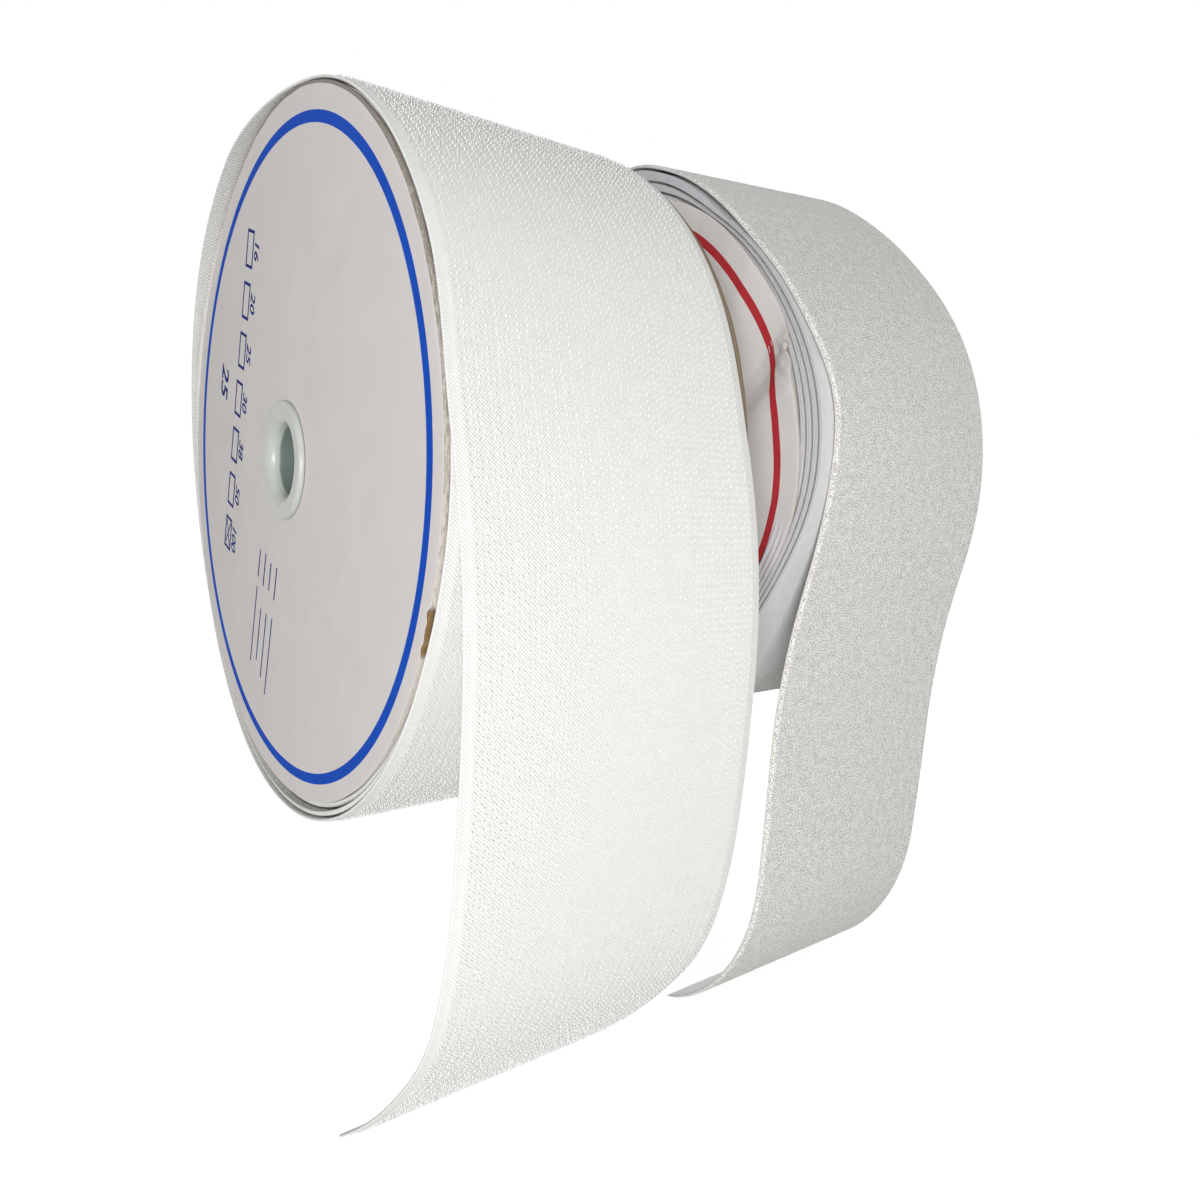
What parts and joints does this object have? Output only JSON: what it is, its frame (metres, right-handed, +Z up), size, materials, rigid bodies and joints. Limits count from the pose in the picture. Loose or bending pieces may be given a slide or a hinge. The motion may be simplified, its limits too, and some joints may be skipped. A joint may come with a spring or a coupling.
{
  "type": "hook and loop tape roll",
  "caption": "Wide hook and loop fastening tape on rolls, wound on card cores between card boards, with plastic hub bushes to hang on a spindle and a free end of tape.",
  "frame": {"origin": "centre of the hook roll: on its axis, halfway across the tape", "axes": "+Y along the hook roll's axis towards the loop roll, +Z up, +X to the front, where the tails hang"},
  "size_m": [0.2625, 0.2562, 0.3543],
  "materials": {
    "card": "raw kraft card",
    "paper": "matt printed paper",
    "plastic": "moulded white plastic",
    "hook_tape": "woven white tape with hooks on the outer face",
    "loop_tape": "woven white tape with napped loops on the outer face"
  },
  "bodies": {
    "hook_hubs": {"hook_hub_front": "plastic", "hook_hub_rear": "plastic"},
    "hook_roll": {"hook_core_tube": "card", "hook_board_front": "card", "hook_label_front": "paper", "hook_board_rear": "card", "hook_inner_turns": "hook_tape", "hook_outer_turns": "hook_tape"},
    "hook_tail": {"hook_tail": "hook_tape"},
    "loop_hubs": {"loop_hub_front": "plastic", "loop_hub_rear": "plastic"},
    "loop_roll": {"loop_core_tube": "card", "loop_board_front": "card", "loop_label_front": "paper", "loop_board_rear": "card", "loop_inner_turns": "loop_tape", "loop_outer_turns": "loop_tape"},
    "loop_tail": {"loop_tail": "loop_tape"}
  },
  "joints": [
    {"name": "hook_turn", "type": "hinge", "parent": "hook_hubs", "child": "hook_roll", "pos_m": [0, 0, 0], "axis": [0, 1, 0], "continuous": true},
    {"name": "hook_peel", "type": "hinge", "parent": "hook_roll", "child": "hook_tail", "pos_m": [0.10545, 0, 0.06211], "axis": [0, -1, 0], "range_deg": [0, 60]},
    {"name": "loop_slide", "type": "slide", "parent": "hook_hubs", "child": "loop_hubs", "axis": [0, 1, 0], "range_m": [-0.038, 0.12]},
    {"name": "loop_turn", "type": "hinge", "parent": "loop_hubs", "child": "loop_roll", "pos_m": [-0.0091, 0.1474, 0.007], "axis": [0, 1, 0], "continuous": true},
    {"name": "loop_peel", "type": "hinge", "parent": "loop_roll", "child": "loop_tail", "pos_m": [-0.06167, 0.1474, 0.11108], "axis": [0, -1, 0], "range_deg": [0, 60]}
  ]
}
